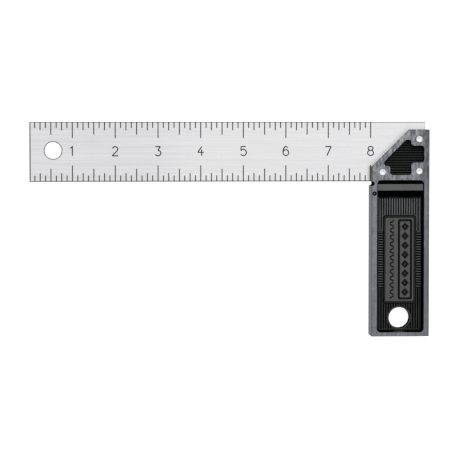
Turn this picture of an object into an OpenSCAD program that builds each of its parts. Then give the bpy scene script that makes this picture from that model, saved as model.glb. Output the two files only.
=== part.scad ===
// Fixed try square: a graduated steel blade riveted square into a cast stock.
// The square lies flat, with the stock's rear face on the ground plane. The blade runs
// along X with its free end at -X, the stock runs along Y, and Z is the thickness.
// Every length is in millimetres.

/* [Blade] */
// Blade length from its free end to the stock's inner face
blade_reach = 203.2; // [120:0.1:320]
// Blade width from the inner edge to the outer edge
blade_width = 35.6; // [32:0.1:45]
// Blade thickness
blade_thickness = 1.5; // [0.8:0.05:2.5]
// Metal left between the buried end of the blade and the stock's outer face
blade_end_inset = 1.6; // [1:0.1:4]
// Width of the bevel along the blade's edges
blade_bevel = 0.3; // [0.05:0.05:0.35]
// Diameter of the hanging hole near the free end
blade_hole_diameter = 10; // [5:0.1:14]
// Distance from the free end to the middle of the hanging hole
blade_hole_setback = 14; // [9:0.1:25]
// Distance of the hanging hole above the blade's centre line
blade_hole_rise = 0.8; // [0:0.1:3]
// Width of the countersink around the blade's hanging hole
blade_hole_bevel = 0.25; // [0.05:0.05:0.35]

/* [Graduations] */
// Distance from one graduation to the next, an eighth of an inch
mark_pitch = 3.175; // [2:0.005:6]
// Length of the shortest graduations
mark_eighth = 3.7; // [2:0.1:6]
// Length of the quarter inch graduations
mark_quarter = 5.1; // [3:0.1:8]
// Length of the half inch graduations
mark_half = 7.7; // [4:0.1:10]
// Length of the whole inch graduations
mark_inch = 9.7; // [5:0.1:12]
// Width of a graduation line
mark_width = 0.6; // [0.2:0.05:0.8]
// Depth of the etched lines and numerals
mark_depth = 0.1; // [0.05:0.01:0.2]
// Height of the numerals
numeral_height = 6.1; // [3:0.1:9]
// Width of the numerals
numeral_width = 4.2; // [2:0.1:6]
// Width of the numeral strokes
numeral_stroke = 0.65; // [0.3:0.05:0.9]
// Distance of the numerals above the blade's centre line
numeral_rise = 0.3; // [0:0.1:1.5]

/* [Stock] */
// Stock width from the inner face to the outer face
stock_width = 34.5; // [27:0.1:38]
// Stock thickness
stock_thickness = 16; // [12:0.1:24]
// Length of stock below the blade's inner edge
stock_drop = 92.5; // [70:0.1:150]
// Distance that the blade's outer edge stands above the stock's head
blade_proud = 4.6; // [1:0.1:6]
// Width of the flat top of the head, beside the mitre
head_flat = 12.6; // [11:0.1:16]
// Width of the small bevel along the stock's front and rear edges
stock_bevel = 0.3; // [0.1:0.05:0.8]
// Clearance between blade and slot on each side and at the buried end
slot_clearance = 0.06; // [0.03:0.01:0.2]
// Radius of the relief notch in the inner corner
notch_radius = 1.4; // [0.8:0.1:3]
// Distance of the notch centre inside the inner face
notch_inset = 0.2; // [0.2:0.1:1.5]
// Distance of the notch centre below the blade's inner edge
notch_drop = 1.2; // [0.5:0.1:2]
// Diameter of the blind dimple beside the grip recess
dimple_diameter = 2.6; // [1.5:0.1:2.6]
// Distance of the dimple centre from the inner face
dimple_inset = 1.65; // [1.6:0.05:1.9]
// Distance of the dimple centre below the blade's inner edge
dimple_drop = 7.1; // [5:0.1:12]
// Diameter of the flat floor at the bottom of the dimple
dimple_floor = 0.9; // [0.4:0.1:1.4]
// Depth of the dimple
dimple_depth = 1.2; // [0.4:0.1:3]

/* [Stock hanging hole] */
// Diameter of the hanging hole in the stock
stock_hole_diameter = 12.5; // [8:0.1:15]
// Distance from the foot of the stock to the middle of the hanging hole
stock_hole_setback = 10.8; // [9:0.1:16]
// Width of the plain ring of floor around the hanging hole
stock_hole_ring = 0.9; // [0.5:0.1:2]

/* [Grip recess] */
// Width of the rim along both long sides of the recess
grip_rim = 3.15; // [3:0.05:6]
// Width of the rim at the foot of the recess
grip_foot_rim = 2.4; // [2:0.1:6]
// Height of the top of the recess above the blade's inner edge
grip_top = 0.9; // [-2:0.1:2]
// Depth of the recess in each face
grip_depth = 5.2; // [3:0.1:5.5]
// Amount that each recess wall leans in from the rim to the floor
grip_draft = 1.3; // [0.2:0.1:1.6]
// Corner radius of the recess at the rim
grip_corner = 2.4; // [1.8:0.1:4]
// Depth of the plain shelf at the top of the recess
shelf_depth = 1.9; // [1:0.1:3]
// Length of the shelf along the stock, with the slope above it
shelf_length = 6.2; // [3:0.1:10]
// Length of the slope from the rim down to the shelf
shelf_wall_lean = 2.5; // [0.2:0.1:2.5]
// Length of the slope from the shelf down to the ribs
step_length = 4; // [1:0.1:6]
// Distance from one rib to the next
rib_pitch = 1.48; // [1:0.01:2.5]
// Height of the ribs above the floor
rib_height = 0.95; // [0.3:0.05:1.5]
// Width of the ribbed column on each side of the panel
column_width = 2.8; // [1.5:0.1:4]
// Length of the part of each side column where the ribs run across
cross_rib_length = 34.4; // [10:0.1:45]
// Gap between the recess wall and the ends of the ribs at the foot
rib_foot_gap = 0.5; // [0.2:0.1:2]

/* [Panel] */
// Distance from the top of the recess to the panel
panel_drop = 21.1; // [14:0.1:30]
// Gap between the panel and the plain ring around the hanging hole
panel_gap = 1.4; // [0.5:0.1:6]
// Corner radius of the panel
panel_corner = 1.2; // [0.8:0.1:3]
// Width of the panel's raised border, with its leaning sides
panel_border = 1.8; // [1.2:0.1:3]
// Height of the raised border above the recess floor
border_height = 1.6; // [1:0.1:2.5]
// Height of the panel's ground above the recess floor
panel_height = 0.8; // [0.3:0.1:1.5]
// Height of the raised pattern above the panel's ground
pattern_height = 0.7; // [0.2:0.1:1]
// Amount that the sides of the border and of the pattern lean in
relief_lean = 0.5; // [0.1:0.05:0.6]
// Width of the outlined band that holds the row of lozenges
band_width = 8.6; // [7:0.1:10]
// Gap between the outlined band and the panel border, at its side and its ends
band_margin = 0.6; // [0.3:0.1:3]
// Line width of the outlined band, with its leaning sides
band_line = 1.3; // [1.2:0.05:1.6]
// Distance from one lozenge to the next
lozenge_pitch = 5.6; // [5.2:0.1:10]
// Length of one lozenge across the stock
lozenge_across = 4.6; // [4:0.1:4.8]
// Length of one lozenge along the stock
lozenge_along = 5; // [4:0.1:5]
// Size of the mouth of a lozenge's sunk middle as a share of the whole
lozenge_core = 0.5; // [0.4:0.01:0.6]
// Distance from one slanting tick to the next in the narrow column
tick_pitch = 2.05; // [1.8:0.05:4]
// Length of one slanting tick
tick_length = 2.7; // [1:0.1:3]
// Width of one slanting tick
tick_width = 0.9; // [0.6:0.05:1.1]
// Amount that the sides of a tick lean in
tick_lean = 0.25; // [0.1:0.05:0.25]
// Slant of the ticks
tick_slant = 32; // [0:1:40]

/* [Head recess] */
// Depth of the recess in each cheek of the head
head_depth = 3.2; // [1.5:0.1:4]
// Width of the rim between the mitre and the recess
head_mitre_rim = 3.2; // [2:0.05:6]
// Height of the foot of the recess above the blade's inner edge
head_foot = 3.9; // [3:0.1:6]
// Distance from the top of the head to the tip of the recess
head_tip_drop = 6; // [4:0.1:10]
// Width of the rim between the recess and the stock's outer face
head_outer_rim = 3.3; // [2:0.1:6]
// Metal left beside each outer rivet, across the stock
boss_side = 2.8; // [1.5:0.05:4]
// Metal left beside the inner rivet, across the stock
boss_side_inner = 2.45; // [1.5:0.05:4]
// Metal left below the upper rivet
boss_below_upper = 1.85; // [1.5:0.05:4]
// Metal left above the outer rivet
boss_above_outer = 3.1; // [1.5:0.05:4]
// Metal left above the inner rivet
boss_above_inner = 1.8; // [1.2:0.05:4]
// Corner radius of the head recess
head_corner = 1.6; // [0.5:0.1:2]
// Height of the ribs on the floor of the head recess
head_rib_height = 0.5; // [0.2:0.05:1]

/* [Rivets] */
// Rivet diameter
rivet_diameter = 4; // [2.5:0.1:5]
// Radial clearance between each rivet and its holes
rivet_clearance = 0.05; // [0.03:0.01:0.15]
// Bevel around the ends of a rivet
rivet_bevel = 0.15; // [0.05:0.05:0.4]
// Depth of the small punch mark in each end of a rivet
rivet_punch = 0.2; // [0.1:0.05:0.5]
// Distance of the outer rivets from the stock's outer face
rivet_outer_inset = 6.15; // [4:0.05:10]
// Distance of the inner rivet from the stock's inner face
rivet_inner_inset = 6.4; // [4:0.1:8]
// Height of the inner rivet above the blade's inner edge
rivet_inner_rise = 5.6; // [4:0.1:8]
// Height of the outer rivet above the blade's inner edge
rivet_outer_rise = 6.2; // [4:0.1:8]
// Distance of the upper rivet below the top of the head
rivet_upper_drop = 5.7; // [4:0.1:10]

/* [Hidden] */
$fn = 48;
NODES = ["blade", "stock", "rivet_upper", "rivet_outer", "rivet_inner"];

steel_colour = [0.86, 0.86, 0.87];
cast_colour = [0.30, 0.31, 0.33];
rivet_colour = [0.93, 0.94, 0.95];

half_turn = 180;
full_turn = 360;
diagonal = 45;
root_two = sqrt(2);
overcut = 1;
arc_steps = 6;
oval_steps = 14;
blade_foot_face = (stock_thickness - blade_thickness) / 2;
blade_top_face = (stock_thickness + blade_thickness) / 2;

mid_height = stock_thickness / 2;
stock_head = blade_width - blade_proud;
mitre_start = stock_head - (stock_width - head_flat);
blade_buried = stock_width - blade_end_inset;
blade_end = -blade_reach;
marks_per_inch = 8;
mark_count = floor(blade_reach / mark_pitch + 0.001);
numeral_count = min(9, floor(mark_count / marks_per_inch));

grip_foot = -stock_drop + grip_foot_rim;
grip_left = grip_rim;
grip_right = stock_width - grip_rim;
grip_length = grip_top - grip_foot;
ribs_start = grip_top - shelf_length - step_length;
ribs_foot = grip_foot + grip_draft + rib_foot_gap;
floor_left = grip_left + grip_draft;
floor_right = grip_right - grip_draft;
panel_left = floor_left + column_width;
panel_right = floor_right - column_width;
panel_top = grip_top - panel_drop;
stock_middle = stock_width / 2;
stock_hole_height = -stock_drop + stock_hole_setback;
ring_radius = stock_hole_diameter / 2 + stock_hole_ring;
panel_foot = stock_hole_height + ring_radius + panel_gap;
cross_middle = (panel_top + panel_foot) / 2;

// Rivet centres in the order of the last three node names
rivet_spots = [
    [stock_width - rivet_outer_inset, stock_head - rivet_upper_drop],
    [stock_width - rivet_outer_inset, rivet_outer_rise],
    [rivet_inner_inset, rivet_inner_rise]
];
first_rivet = len(NODES) - len(rivet_spots);

// Outline of the stock, from the inner corner of its foot and round to the mitre
stock_outline = [
    [0, -stock_drop],
    [stock_width, -stock_drop],
    [stock_width, stock_head],
    [stock_head - mitre_start, stock_head],
    [0, mitre_start]
];

// Corners of the blade, from the free end's inner corner
blade_corners = [
    [blade_end, 0],
    [blade_buried, 0],
    [blade_buried, blade_width],
    [blade_end, blade_width]
];
blade_hole_spot = [blade_end + blade_hole_setback, blade_width / 2 + blade_hole_rise];

// The head recess's slanting wall is the line where Y - X has this value
slant_rise = mitre_start - head_mitre_rim * root_two;
head_tip = stock_head - head_tip_drop;
head_right = stock_width - head_outer_rim;

// ---- helpers ----

function unit(v) = v / norm(v);

// Arc that rounds the corner at b between the sides to a and c, no larger than fits
function corner_arc(a, b, c, radius) =
    let (u = unit(a - b), v = unit(c - b))
    let (half = acos(u * v) / 2)
    let (room = 0.49 * min(norm(a - b), norm(c - b)))
    let (r = min(radius, room * tan(half)))
    let (middle = b + unit(u + v) * r / sin(half))
    let (p = b + u * r / tan(half) - middle, q = b + v * r / tan(half) - middle)
    let (start = atan2(p.y, p.x))
    let (turn = (atan2(q.y, q.x) - start + full_turn + half_turn) % full_turn - half_turn)
    [for (i = [0:arc_steps])
        middle + r * [cos(start + turn * i / arc_steps), sin(start + turn * i / arc_steps)]];

function rounded(points, radius) =
    let (n = len(points))
    [for (i = [0:n - 1])
        each corner_arc(points[(i + n - 1) % n], points[i], points[(i + 1) % n], radius)];

function box_points(left, right, foot, top) =
    [[left, foot], [right, foot], [right, top], [left, top]];

// Solid on a rounded rectangle, with sides that lean in to the middle as it rises
module mound(left, right, foot, top, height, lean, radius) {
    width = right - left;
    length = top - foot;
    translate([(left + right) / 2, (foot + top) / 2, 0])
        linear_extrude(height, slices = 1, segments = 1,
            scale = [1 - 2 * lean / width, 1 - 2 * lean / length])
            polygon(rounded(box_points(-width / 2, width / 2, -length / 2, length / 2), radius));
}

// Raised line around a rectangle, with leaning sides and a narrow crest
module raised_line(left, right, foot, top, width, height, radius) {
    mouth = width - relief_lean;
    grow = relief_lean * overcut / height;
    inset = mouth - grow;
    difference() {
        mound(left, right, foot, top, height, relief_lean, radius);
        translate([0, 0, height + overcut]) mirror([0, 0, 1])
            mound(left + inset, right - inset, foot + inset, top - inset,
                height + 2 * overcut, relief_lean + 2 * grow, radius / 2);
    }
}

// Cross section of a row of round-topped ribs, with a deep base below the floor
module rib_section(length, height) {
    count = floor(length / rib_pitch);
    margin = (length - count * rib_pitch) / 2;
    crest = [for (i = [0:count - 1]) for (k = [0:arc_steps - 1])
        [margin + (i + k / arc_steps) * rib_pitch,
         height * sqrt(sin(half_turn * k / arc_steps))]];
    polygon(concat(
        [[0, -overcut], [0, 0]],
        crest,
        [[length - margin, 0], [length, 0], [length, -overcut]]
    ));
}

// Moves shapes drawn from the inner corner so that the whole square is centred in plan
module place() {
    translate([(blade_reach - stock_width) / 2, (stock_drop - blade_width) / 2, 0]) children();
}

// Draws a feature of the front face again on the rear face
module both_faces() {
    children();
    translate([0, 0, stock_thickness]) mirror([0, 0, 1]) children();
}

// Bevels along the edges of a flat plate, on the faces at the given levels
module edge_bevels(corners, levels, bevel) {
    n = len(corners);
    side = bevel * root_two;
    for (i = [0:n - 1]) {
        a = corners[i];
        d = corners[(i + 1) % n] - a;
        for (z = levels)
            translate([a.x, a.y, z]) rotate(atan2(d.y, d.x)) rotate([diagonal, 0, 0])
                translate([-overcut, -side / 2, -side / 2])
                    cube([norm(d) + 2 * overcut, side, side]);
    }
}

// ---- numerals, drawn about their own centre ----

nw = (numeral_width - numeral_stroke) / 2;
nh = (numeral_height - numeral_stroke) / 2;

// Points on an oval from one angle to another; places and radii are shares of nw and nh
function oval(x, y, rx, ry, from = 0, to = full_turn) = [for (i = [0:oval_steps])
    let (angle = from + (to - from) * i / oval_steps)
    [x + rx * cos(angle), y + ry * sin(angle)]];

function side_step(a, b) = let (d = unit(b - a)) [-d.y, d.x] * numeral_stroke / 2;

// Places one side of a line at its point i, so that bends keep the line's width
function line_side(points, i, sign) =
    let (last = len(points) - 1)
    let (before = side_step(points[max(i - 1, 0)], points[max(i, 1)]))
    let (after = side_step(points[min(i, last - 1)], points[min(i + 1, last)]))
    let (middle = before + after)
    points[i] + sign * middle * (numeral_stroke * numeral_stroke / 2) / (middle * middle);

// Line of the numerals' stroke width along points given as shares of nw and nh
module stroke(shares) {
    points = [for (p = shares) [p.x * nw, p.y * nh]];
    n = len(points);
    polygon(concat(
        [for (i = [0:n - 1]) line_side(points, i, 1)],
        [for (i = [n - 1:-1:0]) line_side(points, i, -1)]
    ));
}

// Closed oval line with its centre and radii given as shares of nw and nh
module loop(x, y, rx, ry) {
    half = numeral_stroke / 2;
    translate([x * nw, y * nh]) difference() {
        polygon(oval(0, 0, rx * nw + half, ry * nh + half));
        polygon(oval(0, 0, rx * nw - half, ry * nh - half));
    }
}

module numeral(n) {
    if (n == 1)
        stroke([[-0.65, 0.65], [0, 1], [0, -1]]);
    if (n == 2) {
        stroke(concat(oval(-0.05, 0.45, 0.85, 0.55, 165, -40), [[-1, -1]]));
        stroke([[-1, -1], [1, -1]]);
    }
    if (n == 3) {
        stroke([[-0.85, 1], [0.8, 1]]);
        stroke([[0.8, 1], [-0.1, 0.18]]);
        stroke(oval(-0.05, -0.41, 1, 0.59, 90, -150));
    }
    if (n == 4) {
        stroke([[0.35, 1], [-1, -0.25]]);
        stroke([[-1, -0.25], [1, -0.25]]);
        stroke([[0.3, 0.35], [0.3, -1]]);
    }
    if (n == 5) {
        stroke([[0.8, 1], [-0.75, 1]]);
        stroke([[-0.75, 1], [-0.8, 0.1]]);
        stroke(oval(0, -0.3, 1, 0.7, 145, -150));
    }
    if (n == 6) {
        loop(0, -0.34, 0.95, 0.66);
        stroke(oval(0, -0.2, 0.95, 1.2, 180, 50));
    }
    if (n == 7) {
        stroke([[-1, 1], [0.95, 1]]);
        stroke([[0.95, 1], [-0.45, -1]]);
    }
    if (n == 8) {
        loop(0, -0.41, 1, 0.59);
        loop(0, 0.59, 0.86, 0.41);
    }
    if (n == 9)
        rotate(half_turn) numeral(6);
}

// ---- blade ----

function mark_length(i) =
    i % marks_per_inch == 0 ? mark_inch :
    i % (marks_per_inch / 2) == 0 ? mark_half :
    i % (marks_per_inch / 4) == 0 ? mark_quarter : mark_eighth;

module scale_marks() {
    for (i = [1:mark_count]) {
        x = blade_end + i * mark_pitch - mark_width / 2;
        translate([x, -overcut]) square([mark_width, overcut + mark_length(i)]);
        translate([x, blade_width - mark_length(i)])
            square([mark_width, overcut + mark_length(i)]);
    }
    for (n = [1:numeral_count])
        translate([blade_end + n * marks_per_inch * mark_pitch, blade_width / 2 + numeral_rise])
            numeral(n);
}

module blade_outline() {
    difference() {
        polygon(blade_corners);
        translate(blade_hole_spot) circle(d = blade_hole_diameter);
        for (spot = rivet_spots)
            translate(spot) circle(r = rivet_diameter / 2 + rivet_clearance);
    }
}

// Countersinks at both ends of the blade's hanging hole
module blade_countersinks() {
    r = blade_hole_diameter / 2;
    for (side = [-1, 1])
        translate([blade_hole_spot.x, blade_hole_spot.y, mid_height])
            mirror([0, 0, side < 0 ? 1 : 0])
                translate([0, 0, blade_thickness / 2 - blade_hole_bevel])
                    cylinder(h = blade_hole_bevel + overcut, r1 = r,
                        r2 = r + blade_hole_bevel + overcut);
}

module blade() {
    color(steel_colour) place()
        difference() {
            translate([0, 0, blade_foot_face])
                linear_extrude(blade_thickness) blade_outline();
            edge_bevels(blade_corners, [blade_foot_face, blade_top_face], blade_bevel);
            blade_countersinks();
            translate([0, 0, blade_top_face - mark_depth])
                linear_extrude(overcut) scale_marks();
            // the rear scale also reads from the free end, with upright numerals
            translate([0, 0, blade_foot_face - overcut + mark_depth])
                linear_extrude(overcut) rear_marks();
        }
}

// Rear scale: the square is turned over about its long edge to read it
module rear_marks() {
    translate([0, blade_width]) mirror([0, 1]) scale_marks();
}

// ---- stock ----

// Space in the grip recess above the floor, with leaning walls
module grip_space() {
    hull()
        for (x = [grip_left + grip_corner, grip_right - grip_corner])
            for (y = [grip_foot + grip_corner, grip_top - grip_corner])
                translate([x, y, -grip_depth])
                    cylinder(h = grip_depth, r1 = grip_corner - grip_draft, r2 = grip_corner,
                        $fn = 32);
}

// Ribs along the stock, with slanted ends below the step
module long_ribs() {
    run = ribs_start - ribs_foot;
    intersection() {
        translate([floor_left, ribs_start, 0]) rotate([90, 0, 0])
            linear_extrude(run) rib_section(floor_right - floor_left, rib_height);
        translate([0, ribs_start, 0]) rotate([90, 0, 90])
            linear_extrude(stock_width)
                polygon([[0, -overcut], [0, 0], [-rib_height, rib_height], [-run, rib_height],
                    [-run, -overcut]]);
    }
}

// Ribs across one side column
module cross_ribs(left) {
    translate([left, cross_middle - cross_rib_length / 2, 0])
        rotate([90, 0, 90]) linear_extrude(column_width) rib_section(cross_rib_length, rib_height);
}

// Lozenge with leaning sides and a sunk middle
module lozenge() {
    across = lozenge_across / 2;
    along = lozenge_along / 2;
    outline = [[across, 0], [0, along], [-across, 0], [0, -along]];
    // half the width between opposite sides
    reach = across * along / norm([across, along]);
    lean = relief_lean / reach;
    grow = lean * overcut / pattern_height;
    mouth = lozenge_core + grow;
    rise = pattern_height + overcut;
    difference() {
        linear_extrude(pattern_height, slices = 1, segments = 1, scale = 1 - lean)
            polygon(outline);
        translate([0, 0, rise]) mirror([0, 0, 1])
            linear_extrude(rise, slices = 1, segments = 1, scale = (mouth - lean - grow) / mouth)
                polygon(outline * mouth);
    }
}

module tick() {
    linear_extrude(pattern_height, slices = 1, segments = 1,
        scale = [1 - 2 * tick_lean / tick_length, 1 - 2 * tick_lean / tick_width])
        square([tick_length, tick_width], center = true);
}

// Generic pattern on the panel: an outlined row of lozenges beside a column of ticks
module panel_pattern() {
    ground_left = panel_left + panel_border;
    band_right = panel_right - panel_border - band_margin;
    band_left = band_right - band_width;
    band_top = panel_top - panel_border - band_margin;
    band_foot = panel_foot + panel_border + band_margin;
    band_middle = (band_top + band_foot) / 2;
    raised_line(band_left, band_right, band_foot, band_top, band_line, pattern_height,
        panel_corner);
    lozenge_count = floor((band_top - band_foot - 2 * band_line) / lozenge_pitch);
    for (i = [0:lozenge_count - 1])
        translate([(band_left + band_right) / 2,
            band_middle + (i - (lozenge_count - 1) / 2) * lozenge_pitch, 0])
            lozenge();
    tick_count = floor((band_top - band_foot) / tick_pitch);
    for (i = [0:tick_count - 1])
        translate([(ground_left + band_left) / 2,
            band_middle + (i - (tick_count - 1) / 2) * tick_pitch, 0])
            rotate(i % 2 == 0 ? tick_slant : -tick_slant) tick();
}

module panel() {
    raised_line(panel_left, panel_right, panel_foot, panel_top, panel_border, border_height,
        panel_corner);
    translate([panel_left + relief_lean, panel_foot + relief_lean, -overcut])
        cube([panel_right - panel_left - 2 * relief_lean,
            panel_top - panel_foot - 2 * relief_lean, panel_height + overcut]);
    translate([0, 0, panel_height]) panel_pattern();
}

// Plain shelf between two slopes: one down from the rim and one down to the ribs
module shelf() {
    rise = grip_depth - shelf_depth;
    foot = grip_top - shelf_length;
    rotate([90, 0, 90]) linear_extrude(stock_width)
        polygon([
            [grip_top + overcut, -overcut],
            [grip_top + overcut, grip_depth],
            [grip_top, grip_depth],
            [grip_top - shelf_wall_lean, rise],
            [foot, rise],
            [foot - step_length, 0],
            [foot - step_length, -overcut]
        ]);
}

// Everything that stands up from the recess floor; the floor is at height zero here
module grip_relief() {
    shelf();
    difference() {
        long_ribs();
        translate([panel_left, panel_foot, -2 * overcut])
            cube([panel_right - panel_left, panel_top - panel_foot, border_height + 3 * overcut]);
        translate([floor_left - overcut, cross_middle - cross_rib_length / 2, -2 * overcut])
            cube([floor_right - floor_left + 2 * overcut, cross_rib_length,
                border_height + 3 * overcut]);
        translate([stock_middle, stock_hole_height, -2 * overcut])
            cylinder(r = ring_radius, h = border_height + 3 * overcut);
    }
    cross_ribs(floor_left);
    cross_ribs(floor_right - column_width);
    panel();
}

module grip_recess() {
    translate([0, 0, stock_thickness]) difference() {
        union() {
            grip_space();
            translate([grip_left + grip_corner, grip_foot + grip_corner, -overcut])
                cube([grip_right - grip_left - 2 * grip_corner, grip_length - 2 * grip_corner,
                    2 * overcut]);
        }
        translate([0, 0, -grip_depth]) grip_relief();
    }
}

module block(left, right, foot, top) {
    translate([left, foot]) square([right - left, top - foot]);
}

// Outline of the head recess: a mitred field less the bosses left around the rivets
module head_outline() {
    r = rivet_diameter / 2;
    side = r + boss_side;
    upper = rivet_spots[0];
    outer = rivet_spots[1];
    inner = rivet_spots[2];
    offset(r = head_corner, $fn = 32) offset(r = -2 * head_corner, $fn = 32)
        offset(r = head_corner, $fn = 32)
            difference() {
                polygon([
                    [head_foot - slant_rise, head_foot],
                    [head_right, head_foot],
                    [head_right, head_tip],
                    [head_tip - slant_rise, head_tip]
                ]);
                block(upper.x - side, stock_width, upper.y - r - boss_below_upper, stock_head);
                block(outer.x - side, stock_width, 0, outer.y + r + boss_above_outer);
                block(-stock_width, inner.x + r + boss_side_inner, 0, inner.y + r + boss_above_inner);
            }
}

module head_recess() {
    foot = head_foot - overcut;
    translate([0, 0, stock_thickness - head_depth]) difference() {
        linear_extrude(head_depth + overcut) head_outline();
        translate([0, foot, 0]) rotate([90, 0, 90])
            linear_extrude(stock_width) rib_section(head_tip - foot, head_rib_height);
    }
}

module blade_slot() {
    gap = blade_thickness + 2 * slot_clearance;
    translate([-overcut, -slot_clearance, mid_height - gap / 2])
        cube([overcut + blade_buried + slot_clearance, stock_head + 2 * overcut, gap]);
}

// Shallow cone with a flat floor, drawn from its floor up and past its rim
module dimple() {
    flare = (dimple_diameter - dimple_floor) / dimple_depth;
    cylinder(d1 = dimple_floor, d2 = dimple_diameter + flare * overcut,
        h = dimple_depth + overcut);
}

module stock() {
    color(cast_colour) place()
        difference() {
            linear_extrude(stock_thickness) polygon(stock_outline);
            edge_bevels(stock_outline, [0, stock_thickness], stock_bevel);
            blade_slot();
            both_faces() grip_recess();
            both_faces() head_recess();
            translate([notch_inset, -notch_drop, -overcut])
                cylinder(r = notch_radius, h = stock_thickness + 2 * overcut);
            translate([dimple_inset, -dimple_drop, stock_thickness - dimple_depth]) dimple();
            translate([stock_middle, stock_hole_height, -overcut])
                cylinder(d = stock_hole_diameter, h = stock_thickness + 2 * overcut);
            for (spot = rivet_spots)
                translate([spot.x, spot.y, -overcut])
                    cylinder(r = rivet_diameter / 2 + rivet_clearance,
                        h = stock_thickness + 2 * overcut);
        }
}

// ---- rivets ----

module rivet(spot) {
    r = rivet_diameter / 2;
    color(rivet_colour) place() translate([spot.x, spot.y, 0])
        rotate_extrude()
            polygon([
                [0, rivet_punch],
                [r / 4, 0],
                [r - rivet_bevel, 0],
                [r, rivet_bevel],
                [r, stock_thickness - rivet_bevel],
                [r - rivet_bevel, stock_thickness],
                [r / 4, stock_thickness],
                [0, stock_thickness - rivet_punch]
            ]);
}

blade();
stock();
for (i = [0:len(rivet_spots) - 1])
    rivet(rivet_spots[i]);
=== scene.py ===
"""Try square: looks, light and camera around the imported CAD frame. Lengths are in metres."""

import math

import bpy
from mathutils import Matrix, Vector


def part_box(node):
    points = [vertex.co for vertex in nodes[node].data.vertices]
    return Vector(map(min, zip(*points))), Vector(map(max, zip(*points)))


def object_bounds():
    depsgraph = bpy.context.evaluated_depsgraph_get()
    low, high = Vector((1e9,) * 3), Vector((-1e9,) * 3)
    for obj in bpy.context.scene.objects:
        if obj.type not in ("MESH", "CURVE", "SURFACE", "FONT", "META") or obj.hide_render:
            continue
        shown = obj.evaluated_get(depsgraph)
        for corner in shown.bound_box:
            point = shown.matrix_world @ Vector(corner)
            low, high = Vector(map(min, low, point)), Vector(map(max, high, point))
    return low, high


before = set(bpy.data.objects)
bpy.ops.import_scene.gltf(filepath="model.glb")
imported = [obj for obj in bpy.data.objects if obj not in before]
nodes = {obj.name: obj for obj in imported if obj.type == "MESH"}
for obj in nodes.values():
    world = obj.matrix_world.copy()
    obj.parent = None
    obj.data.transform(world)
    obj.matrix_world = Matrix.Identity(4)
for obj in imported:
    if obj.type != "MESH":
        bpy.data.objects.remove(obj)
cad_low, cad_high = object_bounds()

MM = 0.001
stock_low, stock_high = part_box("stock")
blade_low, blade_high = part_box("blade")

# Sizes that the frame doesn't state by itself, in step with the CAD model
STOCK_BEVEL = 0.3 * MM
HEAD_FLAT = 12.6 * MM
RECESS_DEPTH = 5.2 * MM
RIB_HEIGHT = 0.95 * MM
SHELF_DEPTH = 1.9 * MM
PANEL_DEPTH = 4.4 * MM
CROSS_RIBS_RISE = 28.75 * MM
ETCH_DEPTH = 0.1 * MM
HEAD_RECESS_RISE = 2 * MM
BLADE_HOLE = Vector((14 * MM, 0.8 * MM))
BLADE_HOLE_RADIUS = 5 * MM
TOLERANCE = 0.01 * MM

# How far a face's normal leans to the front or rear, for a face to count as flat or as steep
FLAT_TILT = 0.99
SLOPE_TILT = 0.85
STEEP_TILT = 0.5
UPRIGHT_TILT = 0.05
BEVEL_TILT_LOW = 0.5
BEVEL_TILT_HIGH = 0.9

# How nearly a face has to point the way its side does, to belong to that side or its bevel
SIDE_FACING = 0.6

# Turns gentler than this many degrees are shaded as one surface
SMOOTH_ANGLE = 34

# The mix node has one set of sockets for each kind of value, under the same names
MIX_COLOUR_A, MIX_COLOUR_B, MIX_COLOUR_OUT = 6, 7, 2
MIX_FLOAT_A, MIX_FLOAT_B, MIX_FLOAT_OUT = 2, 3, 0

# Studio, as strengths of white
SKY_DARK = 0.015
SKY_BRIGHT = 1.5
BACKDROP = 0.95
FLOOR_GLOW = 0.9
FLOOR_SIZE = 12

# Camera: how far off it stands, how it leans from straight down, and where it aims
CAMERA_DISTANCE = 1.3
CAMERA_LEAN_X = math.radians(3.27)
CAMERA_LEAN_Y = math.radians(2.91)
CAMERA_AIM = Vector((-0.37 * MM, 0.09 * MM, 0))
CAMERA_LENS = 171.2
CAMERA_SENSOR = 36

stock_middle = (stock_low.z + stock_high.z) / 2
blade_middle = (blade_low.z + blade_high.z) / 2
centre = (cad_low + cad_high) / 2


# ---------------------------------------------------------------- node helpers

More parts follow.
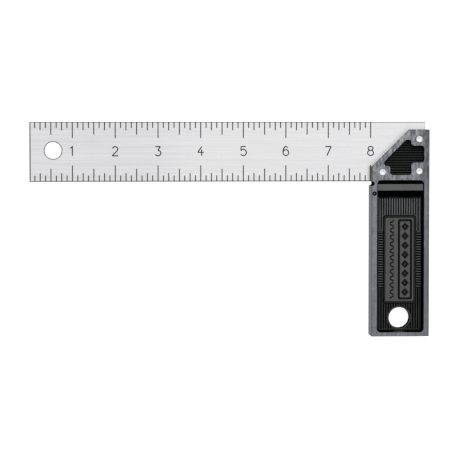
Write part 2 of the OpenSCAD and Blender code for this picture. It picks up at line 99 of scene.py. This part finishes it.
class Graph:
    """A material's node tree, with a short call for each kind of node that is used here."""

    def __init__(self, name):
        self.material = bpy.data.materials.new(name)
        self.material.use_nodes = True
        self.tree = self.material.node_tree
        self.tree.nodes.clear()
        self.shader = self.tree.nodes.new("ShaderNodeBsdfPrincipled")
        out = self.tree.nodes.new("ShaderNodeOutputMaterial")
        self.join(self.shader.outputs["BSDF"], out.inputs["Surface"])
        coords = self.tree.nodes.new("ShaderNodeTexCoord")
        self.place = coords.outputs["Object"]

    def join(self, source, target):
        """Links an output to an input."""
        self.tree.links.new(source, target)

    def feed(self, value, socket):
        """Links an output, or sets a plain value."""
        if isinstance(value, bpy.types.NodeSocket):
            self.join(value, socket)
        else:
            socket.default_value = value

    def noise(self, stretch, detail=3.0, roughness=0.55, seed=0.0):
        """Noise whose cells are 1 / stretch metres along each axis."""
        mapping = self.tree.nodes.new("ShaderNodeMapping")
        mapping.inputs["Scale"].default_value = stretch
        mapping.inputs["Location"].default_value = (seed, 2 * seed, 3 * seed)
        self.join(self.place, mapping.inputs["Vector"])
        node = self.tree.nodes.new("ShaderNodeTexNoise")
        node.inputs["Scale"].default_value = 1.0
        node.inputs["Detail"].default_value = detail
        node.inputs["Roughness"].default_value = roughness
        self.join(mapping.outputs["Vector"], node.inputs["Vector"])
        return node.outputs["Fac"]

    def remap(self, value, low, high, to_low=0.0, to_high=1.0):
        """Eases a value from one range into another and holds it at the ends."""
        node = self.tree.nodes.new("ShaderNodeMapRange")
        node.interpolation_type = "SMOOTHSTEP"
        self.feed(value, node.inputs["Value"])
        node.inputs["From Min"].default_value = low
        node.inputs["From Max"].default_value = high
        node.inputs["To Min"].default_value = to_low
        node.inputs["To Max"].default_value = to_high
        return node.outputs["Result"]

    def maths(self, kind, a, b=0.0):
        """One sum on two values, or on the first alone."""
        node = self.tree.nodes.new("ShaderNodeMath")
        node.operation = kind
        self.feed(a, node.inputs[0])
        self.feed(b, node.inputs[1])
        return node.outputs["Value"]

    def mix(self, factor, a, b):
        """Colour a where factor is 0 and colour b where it is 1."""
        node = self.tree.nodes.new("ShaderNodeMix")
        node.data_type = "RGBA"
        self.feed(factor, node.inputs["Factor"])
        for value, place in ((a, MIX_COLOUR_A), (b, MIX_COLOUR_B)):
            linked = isinstance(value, bpy.types.NodeSocket)
            self.feed(value if linked else (*value, 1.0), node.inputs[place])
        return node.outputs[MIX_COLOUR_OUT]

    def along(self, axis):
        """The object coordinate along one axis, in metres."""
        split = self.tree.nodes.new("ShaderNodeSeparateXYZ")
        self.join(self.place, split.inputs["Vector"])
        return split.outputs[axis]

    def bump(self, height, distance, strength, below=None):
        """Fine relief in the shading, on top of the relief below if there is any."""
        node = self.tree.nodes.new("ShaderNodeBump")
        node.inputs["Distance"].default_value = distance
        node.inputs["Strength"].default_value = strength
        self.feed(height, node.inputs["Height"])
        if below is not None:
            self.join(below, node.inputs["Normal"])
        return node.outputs["Normal"]

    def finish(self, colour, roughness, metallic, normal=None, **plain):
        """Fills in the shader. Extra names are its own sockets, with _ for each space."""
        self.feed(colour, self.shader.inputs["Base Color"])
        self.feed(roughness, self.shader.inputs["Roughness"])
        self.shader.inputs["Metallic"].default_value = metallic
        for name, value in plain.items():
            self.shader.inputs[name.replace("_", " ")].default_value = value
        if normal is not None:
            self.join(normal, self.shader.inputs["Normal"])
        return self.material


# ---------------------------------------------------------------- materials

def painted_edge_shade(g):
    """Share of painted shade: a narrow dark line along the blade's edges and around its hanging
    hole.
    """
    x, y = g.along("X"), g.along("Y")
    end = g.remap(x, blade_low.x + 0.75 * MM, blade_low.x + 0.6 * MM)
    foot = g.remap(y, blade_low.y + 0.6 * MM, blade_low.y + 0.5 * MM, 0.0, 0.9)
    top = g.remap(y, blade_high.y - 0.6 * MM, blade_high.y - 0.5 * MM, 0.0, 0.55)
    across = g.maths("SUBTRACT", x, blade_low.x + BLADE_HOLE.x)
    along = g.maths("SUBTRACT", y, (blade_low.y + blade_high.y) / 2 + BLADE_HOLE.y)
    squares = [g.maths("MULTIPLY", part, part) for part in (across, along)]
    reach = g.maths("SQRT", g.maths("ADD", *squares))
    ring = g.remap(reach, BLADE_HOLE_RADIUS + 0.6 * MM, BLADE_HOLE_RADIUS + 0.4 * MM, 0.0, 0.8)
    return g.maths("MAXIMUM", g.maths("MAXIMUM", end, foot), g.maths("MAXIMUM", top, ring))


def brushed_steel():
    """Rolled blade steel, brushed along the blade, with faint smudges and handling marks, painted
    lighter towards the stock as painted light, and with a line of painted shade along its edges.
    """
    g = Graph("blade_steel")
    fine = g.noise((90, 9000, 9000), detail=2.0)
    broad = g.noise((14, 1100, 1100), detail=3.0, seed=3.0)
    smudge = g.noise((38, 60, 60), detail=4.0, seed=7.0)
    grain = g.noise((2600, 2600, 2600), detail=1.0, seed=11.0)
    tone = g.mix(g.remap(broad, 0.3, 0.7), (0.55, 0.55, 0.56), (0.62, 0.62, 0.63))
    tone = g.mix(g.remap(fine, 0.35, 0.75, 0.0, 0.3), tone, (0.69, 0.69, 0.70))
    tone = g.mix(g.remap(smudge, 0.48, 0.72, 0.0, 0.28), tone, (0.54, 0.54, 0.56))
    # Painted light: the blade's tone rises towards the stock
    lit = g.remap(g.along("X"), blade_low.x + 60 * MM, blade_low.x + 115 * MM, 0.0, 0.35)
    tone = g.mix(lit, tone, (0.73, 0.73, 0.735))
    # Painted shade: a dark line along the blade's edges and around its hanging hole
    tone = g.mix(painted_edge_shade(g), tone, (0.03, 0.031, 0.034))
    sheen = g.remap(fine, 0.3, 0.7, 0.18, 0.27)
    rough = g.maths("ADD", sheen, g.remap(smudge, 0.4, 0.7, 0.0, 0.06))
    normal = g.bump(broad, 0.01 * MM, 0.35)
    normal = g.bump(fine, 0.008 * MM, 0.5, normal)
    normal = g.bump(grain, 0.004 * MM, 0.25, normal)
    return g.finish(tone, rough, 1.0, normal)


def edge_steel():
    """Unbrushed steel on the blade's bevels, painted far darker than its faces as painted shade
    along the edges.
    """
    g = Graph("edge_steel")
    wear_and_sheen = g.noise((260, 260, 900), detail=4.0, seed=12.0)
    tone = g.mix(g.remap(wear_and_sheen, 0.4, 0.75), (0.035, 0.037, 0.042), (0.10, 0.102, 0.11))
    return g.finish(tone, g.remap(wear_and_sheen, 0.3, 0.7, 0.34, 0.5), 1.0, g.bump(wear_and_sheen, 0.02 * MM, 0.3))


def etched_ink():
    """Black fill in the etched graduations and numerals, slightly patchy."""
    g = Graph("etched_ink")
    patch = g.noise((900, 900, 900), detail=3.0, seed=2.0)
    tone = g.mix(g.remap(patch, 0.35, 0.7), (0.006, 0.006, 0.007), (0.018, 0.018, 0.02))
    rough = g.remap(patch, 0.3, 0.7, 0.6, 0.8)
    return g.finish(tone, rough, 0.0, g.bump(patch, 0.02 * MM, 0.4), Specular_IOR_Level=0.1)


def ground_iron(name, rough_low, rough_high):
    """Casting ground flat after painting: grey metal with fine grinding lines along the stock, and
    painted shade on its outer side.
    """
    g = Graph(name)
    lines = g.noise((7000, 26, 7000), detail=2.0)
    bands = g.noise((1300, 9, 1300), detail=3.0, seed=4.0)
    mottle = g.noise((420, 300, 420), detail=4.0, seed=9.0)
    speckle = g.noise((900, 260, 900), detail=3.0, roughness=0.6, seed=15.0)
    pores = g.noise((1900, 1900, 1900), detail=2.0, seed=13.0)
    # The head was ground less evenly than the rims beside the grip, and takes more of the painted
    # shade on its outer side
    head = g.remap(g.along("Y"), blade_low.y - 6 * MM, blade_low.y + 6 * MM)
    outer = g.remap(g.along("X"), stock_high.x - 8 * MM, stock_high.x - 2 * MM)
    tone = g.mix(g.remap(bands, 0.3, 0.7), (0.09, 0.097, 0.107), (0.19, 0.197, 0.211))
    tone = g.mix(g.remap(lines, 0.4, 0.75, 0.0, 0.45), tone, (0.24, 0.247, 0.262))
    tone = g.mix(g.remap(mottle, 0.5, 0.75, 0.0, 0.55), tone, (0.26, 0.267, 0.285))
    tone = g.mix(g.remap(mottle, 0.47, 0.25, 0.0, 0.45), tone, (0.07, 0.075, 0.083))
    patch = g.maths("MULTIPLY", head, g.remap(speckle, 0.46, 0.68, 0.0, 0.5))
    tone = g.mix(patch, tone, (0.42, 0.425, 0.44))
    shade = g.maths("MULTIPLY", head, g.remap(speckle, 0.52, 0.34, 0.0, 0.45))
    tone = g.mix(shade, tone, (0.045, 0.048, 0.055))
    # Painted shade: darker towards the outer side, and more so on the head
    painted_shade = g.maths("MULTIPLY", outer, g.remap(head, 0.0, 1.0, 0.14, 0.5))
    tone = g.mix(painted_shade, tone, (0.05, 0.053, 0.06))
    tone = g.mix(g.remap(pores, 0.66, 0.74, 0.0, 0.8), tone, (0.05, 0.05, 0.055))
    sheen = g.remap(lines, 0.3, 0.7, rough_low, rough_high)
    rough = g.maths("ADD", sheen, g.remap(mottle, 0.4, 0.7, 0.0, 0.1))
    normal = g.bump(bands, 0.02 * MM, 0.4)
    normal = g.bump(lines, 0.012 * MM, 0.6, normal)
    normal = g.bump(pores, 0.02 * MM, 0.25, normal)
    return g.finish(tone, rough, 1.0, normal)


def mitre_iron():
    """The mitre face, ground finer and brighter than the rest of the casting."""
    g = Graph("mitre_iron")
    lines = g.noise((200, 200, 9000), detail=2.0, seed=16.0)
    tone = g.mix(g.remap(lines, 0.35, 0.7), (0.50, 0.505, 0.515), (0.64, 0.645, 0.655))
    return g.finish(tone, g.remap(lines, 0.3, 0.7, 0.2, 0.28), 1.0, g.bump(lines, 0.006 * MM, 0.4))


def black_paint(name, black, wear_and_sheen, shine):
    """Satin black paint over the raw casting. The grey share, from 0 to 1, turns it grey in
    clouds: paint wear where it is low, and a painted sheen where it is high.
    """
    g = Graph(name)
    skin = g.noise((1500, 1500, 1500), detail=3.0, seed=1.0)
    cloud = g.noise((150, 110, 150), detail=4.0, seed=5.0)
    deep = tuple(black * part for part in (0.90, 0.97, 1.06))
    light = tuple(2.0 * part for part in deep)
    tone = g.mix(g.remap(cloud, 0.35, 0.7), deep, light)
    # Grey clouds: paint wear, and on the ribs mostly a painted highlight
    tone = g.mix(g.remap(cloud, 0.35, 0.65, 0.3 * wear_and_sheen, wear_and_sheen), tone, (0.052, 0.055, 0.059))
    sheen = g.remap(skin, 0.3, 0.7, 0.22, 0.34)
    rough = g.maths("ADD", sheen, g.remap(cloud, 0.3, 0.7, 0.0, 0.08))
    normal = g.bump(skin, 0.03 * MM, 0.4)
    return g.finish(tone, rough, 0.0, normal, Specular_IOR_Level=shine)


def rivet_steel():
    """Bright rivet ends, dressed flush with the stock."""
    g = Graph("rivet_steel")
    turned = g.noise((2200, 2200, 2200), detail=3.0, seed=6.0)
    drag = g.noise((4200, 160, 160), detail=2.0, seed=8.0)
    tone = g.mix(g.remap(turned, 0.3, 0.7), (0.57, 0.585, 0.61), (0.71, 0.73, 0.75))
    tone = g.mix(g.remap(drag, 0.55, 0.8, 0.0, 0.3), tone, (0.5, 0.51, 0.53))
    normal = g.bump(drag, 0.01 * MM, 0.4)
    return g.finish(tone, g.remap(turned, 0.3, 0.7, 0.24, 0.38), 1.0, normal)


# ---------------------------------------------------------------- CAD nodes

def smooth_by_angle(piece, angle):
    """Rounds the shading of gentle turns and keeps crisp edges, with the shape unchanged."""
    mesh = piece.data
    if mesh.has_custom_normals:
        custom = mesh.attributes.get("custom_normal")
        if custom is not None:
            mesh.attributes.remove(custom)
    for polygon in mesh.polygons:
        polygon.use_smooth = True
    weld = piece.modifiers.new("join_faces", "WELD")
    weld.merge_threshold = 0.001 * MM
    split = piece.modifiers.new("keep_edges", "EDGE_SPLIT")
    split.use_edge_angle = True
    split.split_angle = math.radians(angle)
    split.use_edge_sharp = False


def paint_faces(piece, materials, choose):
    """Gives each face the material that choose() names."""
    mesh = piece.data
    mesh.materials.clear()
    places = {}
    for name, material in materials.items():
        places[name] = len(places)
        mesh.materials.append(material)
    for polygon in mesh.polygons:
        polygon.material_index = places[choose(mesh, polygon)]


def stock_planes():
    """Point, outward normal and material of each flat side of the stock that is ground bare."""
    mitre_foot = stock_high.x - HEAD_FLAT
    across = Vector((-1, 1, 0)).normalized()
    return [
        (Vector((stock_low.x, 0, 0)), Vector((-1, 0, 0)), "inner"),
        (Vector((stock_high.x, 0, 0)), Vector((1, 0, 0)), "ground"),
        (Vector((0, stock_low.y, 0)), Vector((0, -1, 0)), "ground"),
        (Vector((0, stock_high.y, 0)), Vector((0, 1, 0)), "ground"),
        (Vector((mitre_foot, stock_high.y, 0)), across, "mitre"),
        (Vector((0, 0, stock_low.z)), Vector((0, 0, -1)), "ground"),
        (Vector((0, 0, stock_high.z)), Vector((0, 0, 1)), "ground"),
    ]


def choose_stock_material(planes):
    """Tells the ground sides, the slopes and the kinds of recess floor apart."""
    reach = STOCK_BEVEL + TOLERANCE
    half = (stock_high.z - stock_low.z) / 2

    def on_relief(spot, normal, depth):
        ribbed = abs(normal.z) < FLAT_TILT
        if spot.y > blade_low.y + HEAD_RECESS_RISE:
            return "head"
        below_cross_ribs = spot.y < stock_low.y + CROSS_RIBS_RISE
        if below_cross_ribs and (ribbed or depth > PANEL_DEPTH + TOLERANCE):
            return "foot"
        if ribbed:
            return "cross_rib" if abs(normal.y) > abs(normal.x) else "rib"
        if depth < SHELF_DEPTH + TOLERANCE:
            return "shelf"
        return "relief" if depth < PANEL_DEPTH - TOLERANCE else "panel"

    def choose(mesh, polygon):
        spot, normal = polygon.center, polygon.normal
        for point, outward, material in planes:
            facing = normal.dot(outward)
            if abs((spot - point).dot(outward)) < reach and facing > SIDE_FACING:
                return material if facing > FLAT_TILT else "ground"
        depth = half - abs(spot.z - stock_middle)
        on_rib = depth > RECESS_DEPTH - RIB_HEIGHT - TOLERANCE
        if abs(normal.z) < UPRIGHT_TILT:
            return "bore"
        if abs(normal.z) < (STEEP_TILT if on_rib else SLOPE_TILT):
            return "slope"
        return on_relief(spot, normal, depth)

    return choose


def choose_blade_material(mesh, polygon):
    """Etched faces lie just below the blade's faces, and the bevels lean between face and edge."""
    if BEVEL_TILT_LOW < abs(polygon.normal.z) < BEVEL_TILT_HIGH:
        return "bevel"
    points = [mesh.vertices[i].co for i in polygon.vertices]
    half = (blade_high.z - blade_low.z) / 2
    depths = [half - abs(p.z - blade_middle) for p in points]
    if max(depths) > ETCH_DEPTH + TOLERANCE or max(depths) < TOLERANCE:
        return "face"
    for axis in (0, 1):
        for side in (blade_low[axis], blade_high[axis]):
            if all(abs(p[axis] - side) < TOLERANCE for p in points):
                return "face"
    return "ink"


# The one black paint comes in copies set lighter or darker, glossier or duller, for each kind of
# face: painted light on the shelf and ribs and painted shade on the slopes and in the bores, while
# the head and foot copies are darker and the cross ribs, relief and panel darker than the ribs and
# shelf
stock_materials = {
    "ground": ground_iron("ground_iron", 0.32, 0.46),
    "inner": ground_iron("inner_iron", 0.62, 0.78),
    "mitre": mitre_iron(),
    # Upright bores and notch walls: black paint with its reflection taken away, partly painted
    # shade
    "bore": black_paint("bore_shaded_paint", black=0.003, wear_and_sheen=0.0, shine=0.0),
    # Steep walls: near-black with almost no reflection, as painted shade
    "slope": black_paint("slope_shaded_paint", black=0.0012, wear_and_sheen=0.0, shine=0.03),
    "head": black_paint("head_paint", black=0.003, wear_and_sheen=0.0, shine=0.1),
    "foot": black_paint("foot_paint", black=0.002, wear_and_sheen=0.05, shine=0.45),
    # Ribs: a lighter, glossier copy with strong grey clouds, as painted highlight on their crests
    "rib": black_paint("rib_paint", black=0.013, wear_and_sheen=0.75, shine=1.0),
    "cross_rib": black_paint("cross_rib_paint", black=0.003, wear_and_sheen=0.1, shine=0.4),
    "relief": black_paint("relief_paint", black=0.002, wear_and_sheen=0.0, shine=0.2),
    "panel": black_paint("panel_paint", black=0.003, wear_and_sheen=0.0, shine=0.88),
    # Shelf: a lighter, glossier copy of the paint, as painted light
    "shelf": black_paint("shelf_lit_paint", black=0.011, wear_and_sheen=0.0, shine=1.0),
}
blade_materials = {"face": brushed_steel(), "ink": etched_ink(), "bevel": edge_steel()}
rivet_materials = {"end": rivet_steel()}
paint_faces(nodes["stock"], stock_materials, choose_stock_material(stock_planes()))
paint_faces(nodes["blade"], blade_materials, choose_blade_material)
for name, node in nodes.items():
    if name.startswith("rivet"):
        paint_faces(node, rivet_materials, lambda mesh, polygon: "end")
    smooth_by_angle(node, SMOOTH_ANGLE)


# ---------------------------------------------------------------- floor, light, camera

def pale_floor():
    """A wide white floor that glows, so that it shows no horizon and hardly any shadow."""
    g = Graph("pale_floor")
    cloud = g.noise((3, 3, 3), detail=2.0)
    tone = g.mix(cloud, (0.42, 0.42, 0.42), (0.44, 0.44, 0.44))
    bpy.ops.mesh.primitive_plane_add(size=FLOOR_SIZE, location=(0, 0, cad_low.z))
    floor = bpy.context.object
    floor.name = "floor"
    floor.data.materials.append(g.finish(
        tone, 0.9, 0.0, Specular_IOR_Level=0.1,
        Emission_Color=(1, 1, 1, 1), Emission_Strength=FLOOR_GLOW))


def studio_world():
    """A large soft ceiling: bright overhead and towards +Y, and almost black at the horizon."""
    world = bpy.data.worlds.new("studio")
    world.use_nodes = True
    tree = world.node_tree
    tree.nodes.clear()
    out = tree.nodes.new("ShaderNodeOutputWorld")
    back = tree.nodes.new("ShaderNodeBackground")
    coords = tree.nodes.new("ShaderNodeTexCoord")
    lean = tree.nodes.new("ShaderNodeVectorMath")
    lean.operation = "DOT_PRODUCT"
    lean.inputs[1].default_value = Vector((0.1, 0.28, 0.95)).normalized()
    level = tree.nodes.new("ShaderNodeMapRange")
    level.interpolation_type = "SMOOTHSTEP"
    level.inputs["From Min"].default_value = 0.2
    level.inputs["From Max"].default_value = 0.9
    level.inputs["To Min"].default_value = SKY_DARK
    level.inputs["To Max"].default_value = SKY_BRIGHT
    sight = tree.nodes.new("ShaderNodeLightPath")
    seen = tree.nodes.new("ShaderNodeMix")
    seen.data_type = "FLOAT"
    seen.inputs[MIX_FLOAT_B].default_value = BACKDROP
    tree.links.new(coords.outputs["Generated"], lean.inputs[0])
    tree.links.new(lean.outputs["Value"], level.inputs["Value"])
    tree.links.new(sight.outputs["Is Camera Ray"], seen.inputs["Factor"])
    tree.links.new(level.outputs["Result"], seen.inputs[MIX_FLOAT_A])
    tree.links.new(seen.outputs[MIX_FLOAT_OUT], back.inputs["Strength"])
    tree.links.new(back.outputs["Background"], out.inputs["Surface"])
    bpy.context.scene.world = world


def soft_light(name, place, size, power):
    """A round area light that points at the square."""
    data = bpy.data.lights.new(name, "AREA")
    data.shape = "DISK"
    data.size = size
    data.energy = power
    light = bpy.data.objects.new(name, data)
    light.location = place
    light.rotation_euler = (centre - Vector(place)).to_track_quat("-Z", "Y").to_euler()
    bpy.context.scene.collection.objects.link(light)


def overhead_camera():
    """Looks down on the square, leaning a little to the free end and to the head."""
    back = Vector((-math.sin(CAMERA_LEAN_X) * math.cos(CAMERA_LEAN_Y), math.sin(CAMERA_LEAN_Y),
                   math.cos(CAMERA_LEAN_X) * math.cos(CAMERA_LEAN_Y)))
    right = Vector((0, 1, 0)).cross(back).normalized()
    up = back.cross(right)
    data = bpy.data.cameras.new("camera")
    data.sensor_width = CAMERA_SENSOR
    data.lens = CAMERA_LENS
    camera = bpy.data.objects.new("camera", data)
    turn = Matrix((right, up, back)).transposed().to_4x4()
    stand = centre + CAMERA_AIM + back * CAMERA_DISTANCE
    camera.matrix_world = Matrix.Translation(stand) @ turn
    bpy.context.scene.collection.objects.link(camera)
    bpy.context.scene.camera = camera


pale_floor()
studio_world()
soft_light("key", (0.35, 1.1, 1.3), 0.9, 14)
overhead_camera()
bpy.context.scene.view_settings.view_transform = "Standard"
